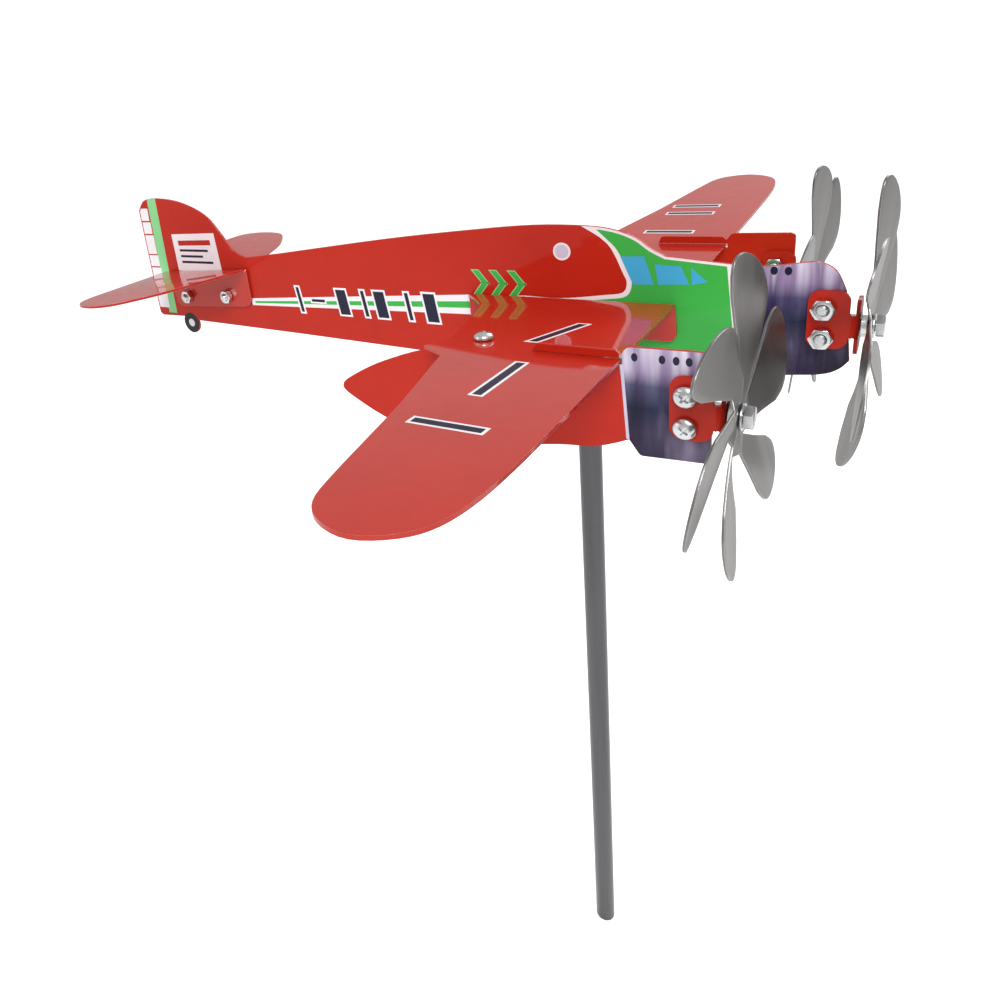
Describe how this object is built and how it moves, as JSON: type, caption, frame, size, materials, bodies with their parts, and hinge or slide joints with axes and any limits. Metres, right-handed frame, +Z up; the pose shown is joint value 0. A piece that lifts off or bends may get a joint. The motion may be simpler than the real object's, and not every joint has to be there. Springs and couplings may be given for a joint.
{
  "type": "whirligig",
  "caption": "Sheet-metal aeroplane whirligig with nose and wing rotors that spin freely, swivelling on a slim upright pole.",
  "frame": {"origin": "centre of the pole's lower end face, on the pole's axis", "axes": "+Z up the pole, +X towards the nose, +Y towards the aeroplane's left wing"},
  "size_m": [0.3029, 0.3202, 0.3436],
  "materials": {
    "red_paint": "gloss red enamel",
    "printed_paint": "gloss enamel with printed livery",
    "grey_paint": "satin grey",
    "rotor_steel": "dull brushed",
    "zinc": "bright zinc plate",
    "swivel_steel": "turned"
  },
  "bodies": {
    "pole": {"pole_rod": "grey_paint", "pivot_pin": "swivel_steel"},
    "airframe": {"axle_bolt_centre": "zinc", "axle_bolt_left": "zinc", "axle_bolt_right": "zinc", "axle_nut_centre": "zinc", "axle_nut_left": "zinc", "axle_nut_right": "zinc", "axle_washer_centre": "zinc", "axle_washer_left": "zinc", "axle_washer_right": "zinc", "bracket_nut_centre_lower": "zinc", "bracket_nut_centre_upper": "zinc", "bracket_nut_left_lower": "zinc", "bracket_nut_left_upper": "zinc", "bracket_nut_right_lower": "zinc", "bracket_nut_right_upper": "zinc", "bracket_screw_centre_lower": "zinc", "bracket_screw_centre_upper": "zinc", "bracket_screw_left_lower": "zinc", "bracket_screw_left_upper": "zinc", "bracket_screw_right_lower": "zinc", "bracket_screw_right_upper": "zinc", "fuselage_panel": "printed_paint", "nacelle_left": "printed_paint", "nacelle_right": "printed_paint", "prop_bracket_centre": "red_paint", "prop_bracket_left": "red_paint", "prop_bracket_right": "red_paint", "root_bolt_front": "zinc", "root_bolt_rear": "zinc", "root_nut_front": "zinc", "root_nut_rear": "zinc", "spacer_centre": "zinc", "spacer_left": "zinc", "spacer_right": "zinc", "stabilizer_left": "red_paint", "stabilizer_right": "red_paint", "swivel_bolt_lower": "zinc", "swivel_bolt_upper": "zinc", "swivel_nut_lower": "zinc", "swivel_nut_upper": "zinc", "swivel_sleeve": "swivel_steel", "tail_bolt_front": "zinc", "tail_bolt_rear": "zinc", "tail_nut_front": "zinc", "tail_nut_rear": "zinc", "wing_left": "red_paint", "wing_nut_left": "zinc", "wing_nut_right": "zinc", "wing_right": "red_paint", "wing_screw_left": "zinc", "wing_screw_right": "zinc"},
    "rotor_right_body": {"rotor_right": "rotor_steel"},
    "rotor_centre_body": {"rotor_centre": "rotor_steel"},
    "rotor_left_body": {"rotor_left": "rotor_steel"}
  },
  "joints": [
    {"name": "airframe_swivel", "type": "hinge", "parent": "pole", "child": "airframe", "pos_m": [0, 0, 0.265], "axis": [0, 0, 1], "continuous": true},
    {"name": "rotor_right_spin", "type": "hinge", "parent": "airframe", "child": "rotor_right_body", "pos_m": [0.0578, -0.05455, 0.2958], "axis": [1, 0, 0], "continuous": true},
    {"name": "rotor_centre_spin", "type": "hinge", "parent": "airframe", "child": "rotor_centre_body", "pos_m": [0.0793, 0.00355, 0.3005], "axis": [1, 0, 0], "continuous": true},
    {"name": "rotor_left_spin", "type": "hinge", "parent": "airframe", "child": "rotor_left_body", "pos_m": [0.0578, 0.06165, 0.2958], "axis": [1, 0, 0], "continuous": true}
  ]
}
